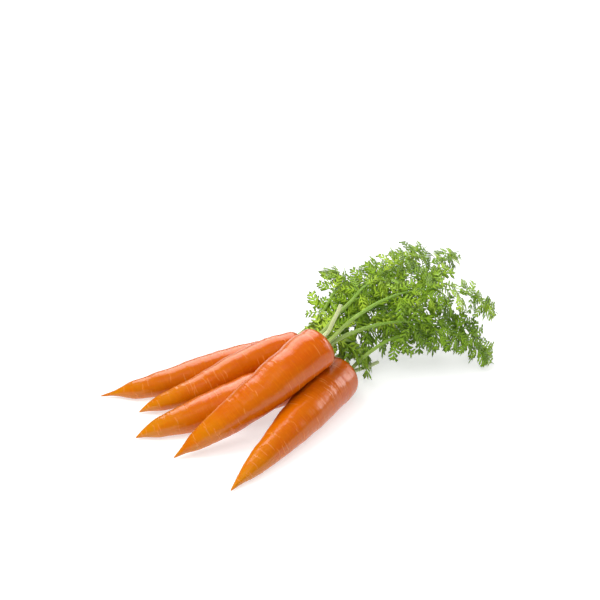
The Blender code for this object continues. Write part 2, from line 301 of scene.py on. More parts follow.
stageValues = {
    "floorColor": (0.55, 0.55, 0.55, 1.0),
    "floorHalf": 6.0,
    "floorGlow": 0.60,  # a light table keeps the shadows pale
    "worldStrength": 0.34,
    "sunStrength": 2.6,
    "sunWidth": 36.0,  # degrees, for soft shadows
    "sunHeading": -66.0,
    "sunPitch": 60.0,
    "sunDistance": 1.5,
    "lampAim": (0.0, 0.02, 0.03),  # the point that every lamp faces
}
softBoxes = {  # power, size, heading, pitch, distance, only there for reflections
    "front_fill": (7.0, 0.80, -150.0, 62.0, 1.3, False),
    "back": (25.0, 1.40, 16.0, 42.0, 1.3, True),
    "right": (15.0, 0.90, 94.0, 20.0, 1.2, True),
}


def addLamp(name, data, heading, pitch, distance, mirrored):
    lamp = bpy.data.objects.new(name, data)
    lamp.visible_glossy = mirrored
    lamp.visible_diffuse = not mirrored
    way = direction(heading, pitch)
    lamp.location = Vector(stageValues["lampAim"]) + way * distance
    lamp.rotation_euler = (-way).to_track_quat("-Z", "Y").to_euler()
    bpy.context.scene.collection.objects.link(lamp)


def makeStage():
    v = stageValues
    half = v["floorHalf"]
    white = (1.0, 1.0, 1.0, 1.0)
    corners = [(-half, -half, 0), (half, -half, 0), (half, half, 0), (-half, half, 0)]
    floor = makeObject("floor", corners, [(0, 1, 2, 3)])
    material, tree, shader = newMaterial("floor_paper")
    paper = {
        "Base Color": v["floorColor"],
        "Roughness": 0.9,
        "Specular IOR Level": 0.1,
        "Emission Color": white,
        "Emission Strength": v["floorGlow"],
    }
    feed(tree, shader, paper)
    floor.data.materials.append(material)

    world = bpy.data.worlds.new("studio")
    bpy.context.scene.world = world
    world.use_nodes = True
    tree = world.node_tree
    seen = addNode(tree, "ShaderNodeLightPath").outputs["Is Camera Ray"]
    strength = mathNode(tree, (0, 0), "MAXIMUM", seen, v["worldStrength"])  # a white backdrop
    feed(tree, tree.nodes["Background"], {"Color": white, "Strength": strength})
    world.cycles_visibility.glossy = False  # only the soft boxes and the floor show in the skin

    sun = bpy.data.lights.new("sun", "SUN")
    sun.energy = v["sunStrength"]
    sun.angle = math.radians(v["sunWidth"])
    addLamp("sun", sun, v["sunHeading"], v["sunPitch"], v["sunDistance"], False)
    for name, (power, size, *place) in softBoxes.items():
        box = bpy.data.lights.new(name, "AREA")
        box.shape = "DISK"
        box.size = size
        box.energy = power
        addLamp(name, box, *place)
    bpy.context.scene.view_settings.view_transform = "Standard"
    bpy.context.scene.view_settings.look = "None"


makeCamera()
makeStage()
print("stage: camera, floor and lights")


# materials


def attributeOf(tree, name, place, output="Fac"):
    node = addNode(tree, "ShaderNodeAttribute", place, attribute_name=name)
    return node.outputs[output]


def makeRamp(tree, place, factor, stops):  # stops as (position, color)
    node = addNode(tree, "ShaderNodeValToRGB", place, {"Fac": factor})
    ramp = node.color_ramp
    while len(ramp.elements) < len(stops):
        ramp.elements.new(0.5)
    for element, (position, color) in zip(ramp.elements, stops):
        element.position = position
        element.color = (*color, 1.0)
    return node.outputs["Color"]


def mixColors(tree, place, factor, a, b):
    inputs = {0: factor, 6: a, 7: b}
    return addNode(tree, "ShaderNodeMix", place, inputs, data_type="RGBA").outputs[2]


def noiseNode(tree, place, vector, scale, detail=3.0):
    inputs = {"Vector": vector, "Scale": scale, "Detail": detail, "Roughness": 0.55}
    return addNode(tree, "ShaderNodeTexNoise", place, inputs).outputs["Fac"]


def makeStreakGroup():  # noise stretched across the growth direction or along it
    inputs = {
        "Vector": ("Vector",),
        "Stretch": ("Vector", (1.0, 1.0, 1.0)),
        "Scale": ("Float", 300.0),
        "Low": ("Float", 0.4),
        "High": ("Float", 0.6),
    }
    tree, given = newTree("streaks", "ShaderNodeTree", inputs, {"Mask": ("Float",)})
    factors = {0: given["Vector"], 1: given["Stretch"]}
    stretched = addNode(tree, "ShaderNodeVectorMath", (-600, 0), factors, operation="MULTIPLY")
    grain = {"Vector": stretched.outputs[0], "Scale": given["Scale"], "Detail": 4.0}
    noise = addNode(tree, "ShaderNodeTexNoise", (-400, 0), grain)
    limits = {"Value": noise.outputs["Fac"], "From Min": given["Low"], "From Max": given["High"]}
    mask = softRange(tree, (-200, 0), limits)
    addNode(tree, "NodeGroupOutput", (0, 0), {"Mask": mask})
    return tree


def softRange(tree, place, limits):
    settings = {"interpolation_type": "SMOOTHSTEP"}
    return addNode(tree, "ShaderNodeMapRange", place, limits, **settings).outputs["Result"]


streakGroup = makeStreakGroup()


def streaks(tree, place, vector, stretch, scale, low, high):
    inputs = {"Vector": vector, "Stretch": stretch, "Scale": scale, "Low": low, "High": high}
    node = addNode(tree, "ShaderNodeGroup", place, node_tree=streakGroup)
    feed(tree, node, inputs)
    return node.outputs["Mask"]


skinLook = {
    "crown": (0.60, 0.094, 0.0),
    "body": (0.56, 0.106, 0.0),
    "lower": (0.55, 0.122, 0.0),
    "tip": (0.56, 0.18, 0.0),
    "deepPatch": (0.53, 0.075, 0.0),
    "paleStreak": (0.68, 0.18, 0.0),
    "creasePale": (0.78, 0.28, 0.07),
    # painted shade in the bottom of each crease
    "creaseShade": (0.26, 0.075, 0.012),
    "crownGreen": (0.24, 0.22, 0.03),
    "strengths": {  # how strongly each marking covers the base color
        "deepPatch": 0.50,
        "paleStreak": 0.34,
        "creasePale": 0.55,
        "creaseShade": 0.75,
        "crownGreen": 1.0,
    },
    "wander": 0.16,  # how unevenly the base color changes along the root
    "roughness": 0.24,
    "gloss": 0.42,
    "subsurface": 0.12,
    "subsurfaceDepth": 2.2 * mm,
    "bumpStrength": 0.30,
    "bumpHeight": 0.12 * mm,
}


def makeSkin():
    look = skinLook
    material, tree, shader = newMaterial("carrot_skin_look")
    share = attributeOf(tree, "share", (-1600, 300))
    space = attributeOf(tree, "skinSpace", (-1600, 0), "Vector")
    crease = attributeOf(tree, "crease", (-1600, -300))
    wander = noiseNode(tree, (-1400, 500), space, 38.0, 2.0)
    moved = mathNode(tree, (-1200, 400), "MULTIPLY_ADD", wander, look["wander"], share)
    stops = ((0.06, "crown"), (0.24, "body"), (0.72, "lower"), (1.0, "tip"))
    color = makeRamp(tree, (-1000, 400), moved, [(at, look[shade]) for at, shade in stops])
    masks = {  # in the order in which they cover each other
        "deepPatch": streaks(tree, (-1200, 100), space, (0.5, 1.0, 1.0), 75.0, 0.48, 0.72),
        "paleStreak": streaks(tree, (-1200, -100), space, (5.0, 0.7, 0.7), 160.0, 0.50, 0.72),
        "creasePale": mathNode(tree, (-1200, -300), "MULTIPLY", crease, 2.2, clamp=True),
        # the deepest part of each crease is painted in shade
        "creaseShade": softRange(
            tree, (-1200, -500), {"Value": crease, "From Min": 0.45, "From Max": 0.95}
        ),
        "crownGreen": attributeOf(tree, "dish", (-1200, -700)),
    }
    for n, (shade, mask) in enumerate(masks.items()):
        strength = look["strengths"][shade]
        part = mathNode(tree, (-1000, 100 - 200 * n), "MULTIPLY", mask, strength)
        color = mixColors(tree, (200 * n - 800, 300), part, color, (*look[shade], 1))
    ridges = streaks(tree, (-800, -400), space, (6.0, 0.5, 0.5), 190.0, 0.30, 0.75)
    pores = noiseNode(tree, (-800, -600), space, 900.0, 2.0)
    relief = {
        "Height": mathNode(tree, (-600, -400), "MULTIPLY_ADD", pores, 0.25, ridges),
        "Strength": look["bumpStrength"],
        "Distance": look["bumpHeight"],
    }
    bump = addNode(tree, "ShaderNodeBump", (-300, -400), relief)
    finish = {
        "Base Color": color,
        "Roughness": look["roughness"],
        "Subsurface Weight": look["subsurface"],
        "Subsurface Radius": (1.0, 0.30, 0.08),
        "Subsurface Scale": look["subsurfaceDepth"],
        "Specular IOR Level": look["gloss"],
        "Normal": bump.outputs["Normal"],
    }
    feed(tree, shader, finish)
    return material


stalkLook = {
    "base": (0.37, 0.47, 0.13),
    "middle": (0.22, 0.38, 0.035),
    "end": (0.14, 0.29, 0.016),
    # painted shade in the rib valleys and the channel along the upper side
    "groove": (0.13, 0.24, 0.025),
    "grooveShadeStrength": 0.6,
    "cut": (0.60, 0.66, 0.34),
    "roughness": 0.42,
    "subsurface": 0.1,
    "subsurfaceDepth": 1.2 * mm,
}


def makeStalkGreen(name, shades):  # shades from the foot outwards
    look = stalkLook
    material, tree, shader = newMaterial(name)
    along = attributeOf(tree, "along", (-1200, 300))
    groove = attributeOf(tree, "groove", (-1200, 0))
    coords = addNode(tree, "ShaderNodeTexCoord", (-1400, -200)).outputs["Object"]
    mottled = noiseNode(tree, (-1200, -200), coords, 220.0)
    shifted = mathNode(tree, (-1000, 200), "MULTIPLY_ADD", mottled, 0.25, along)
    stops = [(at, look[shade]) for at, shade in zip((0.14, 0.40, 0.75), shades)]
    base = makeRamp(tree, (-800, 300), shifted, stops)
    # painted shade darkens the grooves
    part = mathNode(tree, (-700, 0), "MULTIPLY", groove, look["grooveShadeStrength"])
    finish = {
        "Base Color": mixColors(tree, (-500, 300), part, base, (*look["groove"], 1)),
        "Roughness": look["roughness"],
        "Subsurface Weight": look["subsurface"],
        "Subsurface Radius": (0.4, 0.8, 0.2),
        "Subsurface Scale": look["subsurfaceDepth"],
    }
    feed(tree, shader, finish)
    return material


leafLook = {
    "dark": (0.145, 0.280, 0.014),
    "mid": (0.310, 0.530, 0.026),
    "bright": (0.560, 0.780, 0.055),
    "through": (0.40, 0.60, 0.05),  # the color of light that comes through
    "glow": 0.32,  # how much comes through
    "roughness": 0.45,
    "gloss": 0.4,
    "patchiness": 0.5,
}


def makeLeafGreen():
    look = leafLook
    material, tree, shader = newMaterial("leaf_green_look")
    # painted light and shade from each frond, plus random variation, from dark to bright
    tone = attributeOf(tree, "tone", (-1200, 300))
    coords = addNode(tree, "ShaderNodeTexCoord", (-1400, 0)).outputs["Object"]
    patches = noiseNode(tree, (-1200, 0), coords, 90.0, 2.0)
    amount = look["patchiness"]
    uneven = mathNode(tree, (-1000, 0), "MULTIPLY_ADD", patches, amount, -amount / 2)
    value = mathNode(tree, (-900, 200), "ADD", tone, uneven, clamp=True)
    # dark and bright here also stand for painted shade and painted light
    stops = ((0.05, "dark"), (0.5, "mid"), (0.95, "bright"))
    color = makeRamp(tree, (-700, 300), value, [(at, look[shade]) for at, shade in stops])
    finish = {
        "Base Color": color,
        "Roughness": look["roughness"],
        "Specular IOR Level": look["gloss"],
    }
    feed(tree, shader, finish)
    lighter = mixColors(tree, (-300, -300), 0.5, color, (*look["through"], 1))
    through = addNode(tree, "ShaderNodeBsdfTranslucent", (0, -300), {"Color": lighter})
    shares = {0: look["glow"], 1: shader.outputs[0], 2: through.outputs[0]}
    mixed = addNode(tree, "ShaderNodeMixShader", (300, 0), shares)
    feed(tree, tree.nodes["Material Output"], {"Surface": mixed.outputs[0]})
    return material


skinMaterial = makeSkin()
stalkMaterial = makeStalkGreen("stalk_green_look", ("base", "middle", "end"))
cutMaterial = makeStalkGreen("cut_stalk_green_look", ("cut", "cut", "base"))
leafMaterial = makeLeafGreen()
print("stage: materials")


# roots

rootShape = {
    "seed": 3,
    "rows": 380,
    "around": 128,
    "lump": 0.42 * mm,
    "lumpWaves": (9, 60 * mm, 18 * mm, 2),  # how many, longest, shortest, turns around
    "knuckle": 0.08 * mm,  # the wavy outline between creases
    "knuckleWaves": (8, 17 * mm, 7 * mm, 1),
    "ripple": 0.065 * mm,
    "rippleWaves": (16, 9 * mm, 2.2 * mm, 2),
    "calmLength": 14 * mm,  # the shoulder is smoother than the rest
    "crownWrinkle": 0.35 * mm,
    "wrinkles": 11,
    "wrinkleRows": (10, 34),  # the rows from the crown's middle over which they fade
    "dishRows": (14, 30),  # and those over which its green does
    "lowest": 0.12 * mm,
    "creaseSpacing": 2.0 * mm,  # on average, along the root
    "creaseDepth": 0.30 * mm,
    "creaseWidth": 0.52 * mm,
    "creaseReach": (2.0 * mm, 7.5 * mm),  # half its length, on the thickest part
}
tails = {  # how much the tip thins, and the share of the length where that begins
    "root_back": (0.55, 0.80),
    "root_middle": (0.30, 0.86),
    "root_front": (0.32, 0.84),
    "root_upper_back": (0.30, 0.86),
    "root_top": (0.34, 0.86),
}


def makeCreaseTree():  # presses short grooves into the skin along the crease lines
    inputs = {
        "Crease lines": ("Object",),
        "Width": ("Float", 0.5 * mm),
        "Depth": ("Float", 0.3 * mm),
        "Material": ("Material",),
    }
    tree, given = newShapeTree("pressCreases", **inputs)
    lines = meshOf(tree, (-1000, -200), given["Crease lines"])
    edges = {"target_element": "EDGES"}
    distance = addNode(tree, "GeometryNodeProximity", (-800, -200), {0: lines}, **edges)
    fade = {
        "Value": distance.outputs["Distance"],
        "From Min": 0.0,
        "From Max": given["Width"],
        "To Min": 1.0,
        "To Max": 0.0,
    }
    falloff = softRange(tree, (-600, -200), fade)
    searched = {"Geometry": lines}
    nearest = addNode(tree, "GeometryNodeSampleNearest", (-800, -500), searched, domain="POINT")
    sampled = {
        "Geometry": lines,
        "Value": readAttribute(tree, "deep"),
        "Index": nearest.outputs["Index"],
    }
    onPoints = {"data_type": "FLOAT", "domain": "POINT"}
    deep = addNode(tree, "GeometryNodeSampleIndex", (-600, -500), sampled, **onPoints)
    pressed = mathNode(tree, (-400, -300), "MULTIPLY", falloff, deep.outputs["Value"])
    sink = mathNode(tree, (-200, -300), "MULTIPLY", pressed, given["Depth"])
    inward = mathNode(tree, (-100, -400), "MULTIPLY", sink, -1.0)
    normal = addNode(tree, "GeometryNodeInputNormal", (-200, -500)).outputs[0]
    shift = {0: normal, "Scale": inward}
    offset = addNode(tree, "ShaderNodeVectorMath", (0, -300), shift, operation="SCALE")
    stored = {"Geometry": given["Geometry"], "Name": "crease", "Value": pressed}
    kept = addNode(tree, "GeometryNodeStoreNamedAttribute", (0, 0), stored, **onPoints)
    moving = {"Geometry": kept.outputs["Geometry"], "Offset": offset.outputs[0]}
    moved = addNode(tree, "GeometryNodeSetPosition", (200, 0), moving)
    return finishTree(tree, moved.outputs["Geometry"], given["Material"])


def waves(random, d, a, count, longest, shortest, turns):  # smooth noise over a root's surface
    total = np.zeros(np.broadcast(d, a).shape)
    for _ in range(count):
        length = longest * (shortest / longest) ** random.random()
        k = random.integers(0, turns + 1)
        total = total + np.sin(
            2 * math.pi * d / length + k * a + random.uniform(0, 2 * math.pi)
        ) * (length / longest) ** 0.5
    return total / math.sqrt(count)


def pastRim(d):  # the first row past the crown's rim
    return int(np.argmin(d[: len(d) // 4]))


def makeCreaseLines(name, random, d, r, length, grid):  # short arcs just on the skin
    shape = rootShape
    around = shape["around"]
    rim = pastRim(d)
    steps = np.linspace(-1, 1, 9)
    lines, edges, deep = [], [], []
    for _ in range(int(length / shape["creaseSpacing"])):
        at = ((random.random() ** 0.9) * 0.94 + 0.035) * length
        centreAngle = random.uniform(0, 2 * math.pi)
        here = np.interp(at, d[rim:], r[rim:])
        reach = random.uniform(*shape["creaseReach"]) * (0.4 + 0.6 * here / r.max())
        spanAngle = min(reach / max(here, 1 * mm), 1.3)
        tilt = random.normal(0, 0.35 * mm)
        bow = random.normal(0, 0.5 * mm)
        strength = random.uniform(0.35, 1.0)
        base = len(lines)
        for step in steps:
            along = at + tilt * step + bow * step**2
            row = rim + np.abs(d[rim:] - along).argmin()
            angle = centreAngle + spanAngle * step
            column = (angle / (2 * math.pi) * around) % around
            low = int(column) % around
            high = (low + 1) % around
            mix = column - int(column)
            lines.append(grid[row, low] * (1 - mix) + grid[row, high] * mix)
            deep.append(strength * (1 - 0.75 * abs(step) ** 2))
        edges += [(base + n, base + n + 1) for n in range(len(steps) - 1)]
    marks = makeObject(name + "_creases", lines, [], edges)
    storeValues(marks.data, "deep", deep)
    return marks


def makeRoot(name, seed, creaseTree):
    shape = rootShape
    random = np.random.default_rng(seed)
    axis, rings = measureRoot(name)
    arc = arcOf(axis)
    _, across, up = framesAlong(axis)
    profile = smoothPath(np.column_stack([rings, np.zeros(len(rings))]), 1200)[:, :2]
    thin, start = tails[name]
    waist = smoothStep(profile[:, 0] / arc[-1], start, start + 0.75 * (1 - start))
    profile[:, 1] *= 1 - thin * waist
    length = arcOf(np.column_stack([profile, np.zeros(len(profile))]))
    count, around = shape["rows"], shape["around"]
    rows = readAt(np.linspace(0, length[-1], count), length, profile)
    d, r = rows[:, 0], rows[:, 1]
    down = d[:, None]
    angle = np.linspace(0, 2 * math.pi, around, endpoint=False)[None]
    size = r[:, None] / r.max()
    lumps, ripples, knuckles = (
        waves(random, down, angle, *shape[kind + "Waves"]) for kind in ("lump", "ripple", "knuckle")
    )
    calm = smoothStep(down, 0, shape["calmLength"])
    rise = shape["lump"] * lumps * size * (0.35 + 0.65 * calm)
    rise = rise + shape["knuckle"] * knuckles * size**0.5 * calm
    rise = rise + shape["ripple"] * ripples * size**0.7 * (0.4 + 0.6 * calm)
    hollow = 1 - smoothStep(np.arange(count)[:, None], *shape["wrinkleRows"])
    rise = rise + shape["crownWrinkle"] * hollow * size * np.sin(
        shape["wrinkles"] * angle + 3 * lumps
    )
    centre = readAt(d, arc, axis)
    side, top = readAt(d, arc, across), readAt(d, arc, up)
    way = side[:, None] * np.cos(angle)[..., None] + top[:, None] * np.sin(angle)[..., None]
    radius = np.maximum(r[:, None] + rise, 0.02 * mm)
    grid = centre[:, None] + way * radius[..., None]
    grid[..., 2] = np.maximum(grid[..., 2], shape["lowest"])
    verts = np.concatenate([grid[1:-1].reshape(-1, 3), centre[:1], centre[-1:]])
    i = np.arange(count - 3)[:, None] * around
    k = np.arange(around)[None]
    j = (k + 1) % around
    quads = np.stack([i + k, i + j, i + around + j, i + around + k], axis=-1).reshape(-1, 4)
    pole = (count - 2) * around  # the point in the crown, and the tip after it
    last = (count - 3) * around
    fans = [[pole, (n + 1) % around, n] for n in range(around)]
    fans += [[pole + 1, last + n, last + (n + 1) % around] for n in range(around)]
    root = makeObject(name + "_skin", verts, quads.tolist() + fans)
    root.data.shade_smooth()

    def spread(values):  # one value per row, out to every vertex
        inside = np.repeat(values[1:-1], around, axis=0)
        return np.concatenate([inside, values[:1], values[-1:]])

    storeValues(root.data, "share", spread(d / arc[-1]))
    dish = 1 - smoothStep(np.arange(count, dtype=float), *shape["dishRows"])
    storeValues(root.data, "dish", spread(dish))
    flat = np.stack(
        [np.broadcast_to(down, grid.shape[:2]), radius * np.cos(angle), radius * np.sin(angle)],
        axis=-1,
    )
    flat = np.concatenate([flat[1:-1].reshape(-1, 3), flat[0, :1], flat[-1, :1]])
    storeValues(root.data, "skinSpace", flat + seed * 0.37)  # each root shows another part
    marks = makeCreaseLines(name, random, d, r, arc[-1], grid)
    sizes = {"Width": shape["creaseWidth"], "Depth": shape["creaseDepth"]}
    applyTree(root, creaseTree, {"Crease lines": marks, "Material": skinMaterial, **sizes})
    bpy.data.objects.remove(marks)
    root.data.shade_smooth()
    handOver(root, "carrot_skin", name)
    return axis[0]


def nodeNames(start="", end=""):
    return sorted(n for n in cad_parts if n.startswith(start) and n.endswith(end))


creaseTree = makeCreaseTree()
crowns = np.array(
    [makeRoot(n, rootShape["seed"] + i, creaseTree) for i, n in enumerate(nodeNames("root"))]
)
print("stage: roots")


# leaf stalks

stalkShape = {
    "seed": 40,
    "cutSeed": 80,
    "points": 140,
    "ribs": 9,
    "ribDepth": 0.13,  # share of the radius
    "channel": 0.22,  # the groove along the upper side, share of the radius
    "slim": 0.74,  # share of the CAD stalk's thickness
    "outerSlim": 0.44,  # how much of that is left among the leaflets
    "footSwell": 0.45,  # wider where it leaves the crown
    "slimFrom": 35 * mm,  # where it starts to slim, and where it has ended
    "slimTo": 100 * mm,
    "footLength": 9.0 * mm,
    "sink": 3.2 * mm,  # how far the foot reaches into the crown's hollow
    "wobble": 0.35 * mm,
    "lowest": 2.6 * mm,
    "greenLength": 180 * mm,  # the length over which the green changes
}


def makeProfile(name, ribs, depth, channel, sides):  # a closed outline of radius 1
    turn = np.linspace(0, 2 * math.pi, sides, endpoint=False)
    radius = 1 + depth * np.cos(ribs * turn)
    radius = radius - channel * np.exp(-(((turn - math.pi / 2) / 0.5) ** 2))
    points = np.column_stack([radius * np.cos(turn), radius * np.sin(turn), np.zeros(sides)])
    outline = makeObject(name, points, [], [(i, (i + 1) % sides) for i in range(sides)])
    deepest = max(depth + channel, 1e-9)
    # how deep each point lies in a groove, which sets the painted shade
    storeValues(outline.data, "groove", np.clip((1.02 - radius) / deepest, 0, 1))
    return outline


def makeSweepTree():  # sweeps a profile along every line, sized by its "thick" values
    inputs = {"Profile": ("Object",), "Material": ("Material",)}
    tree, given = newShapeTree("sweepLines", **inputs)
    thick = readAttribute(tree, "thick")

    def curveOf(mesh, place):
        node = addNode(tree, "GeometryNodeMeshToCurve", place, {"Mesh": mesh})
        return node.outputs["Curve"]

    rail = {"Curve": curveOf(given["Geometry"], (-800, 0))}
    upright = addNode(tree, "GeometryNodeSetCurveNormal", (-600, 0), rail, mode="Z_UP")
    sizes = {"Curve": upright.outputs["Curve"], "Radius": thick}
    sized = addNode(tree, "GeometryNodeSetCurveRadius", (-400, 0), sizes)
    outline = meshOf(tree, (-800, -300), given["Profile"])
    parts = {
        "Curve": sized.outputs["Curve"],
        "Profile Curve": curveOf(outline, (-600, -300)),
        "Scale": thick,
        "Fill Caps": True,
    }
    sweep = addNode(tree, "GeometryNodeCurveToMesh", (-200, 0), parts)
    return finishTree(tree, sweep.outputs["Mesh"], given["Material"])


sweepTree = makeSweepTree()
ribbed = makeProfile(
    "ribbed_outline", stalkShape["ribs"], stalkShape["ribDepth"], stalkShape["channel"], 54
)
plain = makeProfile("plain_outline", 0, 0.0, 0.0, 6)


def faceOutwards(obj):
    points, faces = readMesh(obj.data)
    a, b, c = (points[faces[:, i]] for i in range(3))
    if (a * np.cross(b, c)).sum() < 0:
        obj.data.flip_normals()


def makeStalk(name, seed, material, slot):
    shape = stalkShape
    random = np.random.default_rng(seed)
    centres, radii = measureTube(name, crowns)
    foot = centres[0] - unit(centres[1] - centres[0]) * shape["sink"]
    path = smoothPath(np.vstack([foot, centres]), shape["points"])
    arc = arcOf(path)
    known = np.concatenate([[0], arcOf(centres) + shape["sink"]])
    thick = np.interp(arc / arc[-1], known / known[-1], np.concatenate([[radii[0]], radii]))
    swell = shape["footSwell"] * (1 - smoothStep(arc, 0, shape["footLength"]))
    thick = thick * shape["slim"] * (1 + swell)
    outer = smoothStep(arc, shape["slimFrom"], shape["slimTo"])
    thick = thick * (1 - (1 - shape["outerSlim"]) * outer)
    _, across, up = framesAlong(path)
    sway = np.zeros_like(path)
    for axis in (across, up):
        phase, length = random.uniform(0, 6.28), random.uniform(25, 45) * mm
        sway += axis * (np.sin(2 * math.pi * arc / length + phase))[:, None]
    fade = smoothStep(arc, 8 * mm, 30 * mm)[:, None]
    path = path + sway * shape["wobble"] * fade
    path = keepAbove(path, lowest=shape["lowest"], soft=1.5 * mm)
    line = makeObject(name + "_look", path, [], [(i, i + 1) for i in range(len(path) - 1)])
    storeValues(line.data, "thick", thick)
    storeValues(line.data, "along", arc / shape["greenLength"])
    applyTree(line, sweepTree, {"Profile": ribbed, "Material": material})
    faceOutwards(line)
    line.data.shade_smooth()
    handOver(line, slot, name)
    return path


stalks = {}
for i, name in enumerate(nodeNames(end="_stalk")):
    stalks[name] = makeStalk(name, stalkShape["seed"] + i, stalkMaterial, "stalk_green")
for i, name in enumerate(nodeNames("cut_stalk")):
    makeStalk(name, stalkShape["cutSeed"] + i, cutMaterial, "cut_stalk_green")
print("stage: stalks")


# leaflets

leafletShape = {
    "seed": 200,
    "variants": 4,
    "pairs": 3,
    "spineHalf": 0.03,  # shares of the leaflet's length
    "lobeLength": 0.44,
    "lobeWidth": 0.132,
    "lobeShrink": 0.45,  # how much shorter the lobes get towards the tip
    "firstLobe": 0.85,  # the first pair is shortened to this share
    "lobeStep": 0.6,  # how far along the midrib a lobe is rooted, in lobe widths
    "lobeAngle": 42.0,  # degrees
    "midribHeight": 0.03,
    "thickness": 0.022,
    "fold": 0.05,
    "arch": 0.28,
    "sideBend": 0.06,
}


# a closed lobed leaflet 1 long, from the origin along +X, facing +Z
def makeLeaflet(index):
    shape = leafletShape
    random = np.random.default_rng(shape["seed"] + index)
    pairs = shape["pairs"] + index % 2
    half, width = shape["spineHalf"], shape["lobeWidth"]
    veinHeight = shape["midribHeight"] - shape["fold"] * 0.3
    rim, top, bottom, faces = [], [], [], []

    def addRim(x, y):
        rim.append((x, y))
        return ("rim", len(rim) - 1)

    def addMiddle(x, y, high):
        top.append((x, y, high))
        bottom.append((x, y, high - shape["thickness"]))
        return ("mid", len(top) - 1)

    def addFace(side, *corners):  # corners run the other way round on the left side
        faces.append(corners if side < 0 else corners[::-1])

    stops = np.linspace(0.16, 0.70, pairs) + random.normal(0, 0.02, pairs)
    step = width * shape["lobeStep"]
    spine = [addMiddle(0.0, 0.0, 0.02)]
    for x in stops:
        spine += [addMiddle(at, 0.0, shape["midribHeight"]) for at in (x, x + step)]
    ends = {}  # where the rim of each side starts and stops, 1 for left and -1 for right
    for side in (1, -1):
        edge = [addRim(0.0, side * half)]
        for n, x in enumerate(stops):
            reach = shape["lobeLength"] * (1.0 - shape["lobeShrink"] * n / pairs)
            reach *= random.uniform(0.72, 1.2)
            if n == 0:
                reach *= shape["firstLobe"]
            angle = math.radians(shape["lobeAngle"] * random.uniform(0.70, 1.25))
            forward = np.array([math.cos(angle), side * math.sin(angle)]) * reach
            sideways = np.array([math.sin(angle), -side * math.cos(angle)]) * width
            root = np.array([x + step / 2, side * half])
            low = addRim(x, side * half)
            back = addRim(*(root + forward * 0.42 - sideways * 0.50))
            point = addRim(*(root + forward * 0.78 - sideways * random.uniform(0.3, 1.0)))
            notch = addRim(*(root + forward * 0.80 - sideways * 0.20))
            tip = addRim(*(root + forward))
            front = addRim(*(root + forward * 0.60 + sideways * 0.46))
            high = addRim(x + step, side * half)
            vein = addMiddle(*(root + forward * 0.5), veinHeight)
            s0, s1 = spine[1 + 2 * n], spine[2 + 2 * n]
            addFace(side, low, back, point, notch, tip, vein, s0)
            addFace(side, tip, front, high, s1, vein)
            addFace(side, vein, s1, s0)
            edge += [low, high]
        for n in range(0, len(spine) - 1, 2):  # the narrow web between two lobes
            addFace(side, edge[n], edge[n + 1], spine[n + 1], spine[n])
        ends[side] = edge[0], edge[-1]
    last = spine[-1]
    x = stops[-1] + step
    leftMid, rightMid = (addRim(x + (1 - x) * 0.45, side * width * 0.52) for side in (1, -1))
    tip = addRim(1.0, 0.0)
    vein = addMiddle(x + (1 - x) * 0.5, 0.0, veinHeight)
    addFace(-1, tip, leftMid, ends[1][1], last, vein)
    addFace(-1, rightMid, tip, vein, last, ends[-1][1])
    addFace(-1, ends[1][0], ends[-1][0], spine[0])

    rimCount, midCount = len(rim), len(top)
    verts = np.array([(x, y, 0.0) for x, y in rim] + top + bottom)
    bend = shape["arch"] * random.uniform(0.6, 1.4)
    verts[:, 2] -= bend * verts[:, 0] ** 2 + 0.5 * bend * verts[:, 1] ** 2
    verts[:, 1] += shape["sideBend"] * math.sin(index * 2.1) * verts[:, 0] ** 2

    def place(corner, under):
        kind, n = corner
        return n if kind == "rim" else rimCount + n + (midCount if under else 0)

    whole = [[place(c, False) for c in f] for f in faces]
    whole += [[place(c, True) for c in reversed(f)] for f in faces]
    obj = makeObject(f"leaflet_{index}", verts, whole)
    bpy.context.scene.collection.objects.unlink(obj)
    obj.data.shade_smooth()
    return obj


leaflets = bpy.data.collections.new("leaflets")
for index in range(leafletShape["variants"]):
    leaflets.objects.link(makeLeaflet(index))


# one leaflet at each point, turned by "way" and "lift" and sized by "size"
def makeScatterTree():
    inputs = {
        "Leaflets": ("Collection",),
        "Material": ("Material",),
        "Seed": ("Int", 1),
        "Waviness": ("Float", 0.8 * mm),
    }
    tree, given = newShapeTree("scatterLeaflets", **inputs)
    chosen = {
        "Collection": given["Leaflets"],
        "Separate Children": True,
        "Reset Children": True,
    }
    own = {"transform_space": "ORIGINAL"}
    choices = addNode(tree, "GeometryNodeCollectionInfo", (-900, -200), chosen, **own)
    aims = {n: readAttribute(tree, way, "FLOAT_VECTOR") for n, way in enumerate(("way", "lift"))}
    axes = {"primary_axis": "X", "secondary_axis": "Z"}
    turn = addNode(tree, "FunctionNodeAxesToRotation", (-700, -400), aims, **axes)
    limits = {4: 0, 5: leafletShape["variants"] - 1, "Seed": given["Seed"]}
    pick = addNode(tree, "FunctionNodeRandomValue", (-700, -600), limits, data_type="INT")
    placing = {
        "Points": given["Geometry"],
        "Instance": choices.outputs[0],
        "Pick Instance": True,
        "Instance Index": pick.outputs[2],
        "Rotation": turn.outputs[0],
        "Scale": readAttribute(tree, "size"),
    }
    put = addNode(tree, "GeometryNodeInstanceOnPoints", (-400, 0), placing).outputs[0]
    whole = addNode(tree, "GeometryNodeRealizeInstances", (-200, 0), {0: put}).outputs[0]
    noise = addNode(tree, "ShaderNodeTexNoise", (-400, -300), {"Scale": 110.0, "Detail": 1.0})
    centred = {0: noise.outputs["Color"], 1: (0.5, 0.5, 0.5)}
    centred = addNode(tree, "ShaderNodeVectorMath", (-200, -300), centred, operation="SUBTRACT")
    shift = {0: centred.outputs[0], "Scale": given["Waviness"]}
    offset = addNode(tree, "ShaderNodeVectorMath", (0, -300), shift, operation="SCALE").outputs[0]
    moving = {"Geometry": whole, "Offset": offset}
    moved = addNode(tree, "GeometryNodeSetPosition", (200, 0), moving)
    return finishTree(tree, moved.outputs["Geometry"], given["Material"])


# fronds

